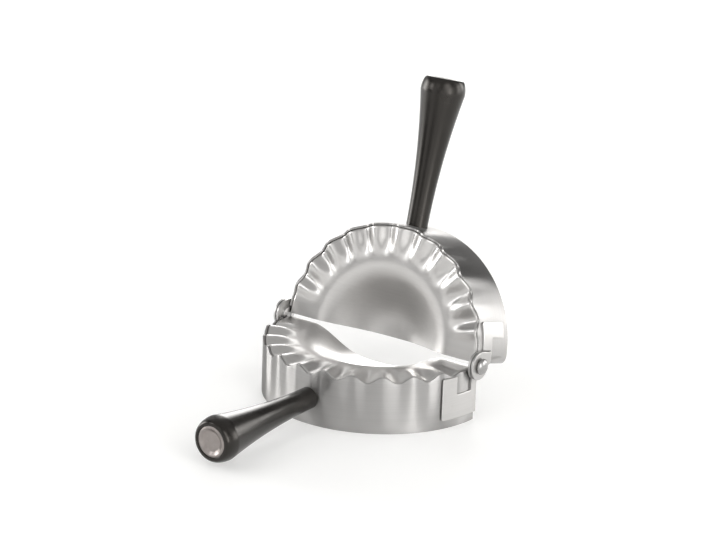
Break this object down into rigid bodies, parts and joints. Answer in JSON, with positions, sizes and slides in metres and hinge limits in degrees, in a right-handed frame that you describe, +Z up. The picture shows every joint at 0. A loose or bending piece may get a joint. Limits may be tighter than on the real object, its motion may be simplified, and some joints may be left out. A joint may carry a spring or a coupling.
{
  "type": "empanada press",
  "caption": "Hinged hand press for filled dough: two half rings with fluted cups fold together about side pivots, each with a straight turned handle.",
  "frame": {"origin": "on the table, in the middle between the two ends of the front half ring, straight below the fold pivot", "axes": "+X along the fold pivot to the right as seen from the front handle, -Y towards the front handle's end, +Z up from the table"},
  "size_m": [0.1544, 0.2329, 0.1875],
  "materials": {
    "band_steel": "satin brushed round the ring",
    "cup_steel": "pressed, bright satin",
    "plate_steel": "satin",
    "rivet_steel": "polished",
    "cap_steel": "turned satin with a polished bevel",
    "fitting_steel": "plain",
    "grip_plastic": "black, semi-gloss, finely grained"
  },
  "bodies": {
    "front_half": {"front_band": "band_steel", "front_cup": "cup_steel", "front_hinge_plate_right": "plate_steel", "front_hinge_plate_left": "plate_steel", "front_handle_boss": "fitting_steel", "front_handle_rod": "fitting_steel", "front_grip": "grip_plastic", "front_rod_washer": "fitting_steel", "front_rod_nut": "fitting_steel", "front_end_cap": "cap_steel", "friction_washer_right": "fitting_steel", "friction_washer_left": "fitting_steel", "backing_washer_right": "fitting_steel", "backing_washer_left": "fitting_steel"},
    "back_half": {"back_band": "band_steel", "back_cup": "cup_steel", "back_hinge_plate_right": "plate_steel", "back_hinge_plate_left": "plate_steel", "back_handle_boss": "fitting_steel", "back_handle_rod": "fitting_steel", "back_grip": "grip_plastic", "back_rod_washer": "fitting_steel", "back_rod_nut": "fitting_steel", "back_end_cap": "cap_steel", "hinge_rivet_right": "rivet_steel", "hinge_rivet_left": "rivet_steel"}
  },
  "joints": [
    {"name": "fold", "type": "hinge", "parent": "front_half", "child": "back_half", "pos_m": [0, 0, 0.0342], "axis": [1, 0, 0], "range_deg": [-74.5, 105.5]}
  ]
}
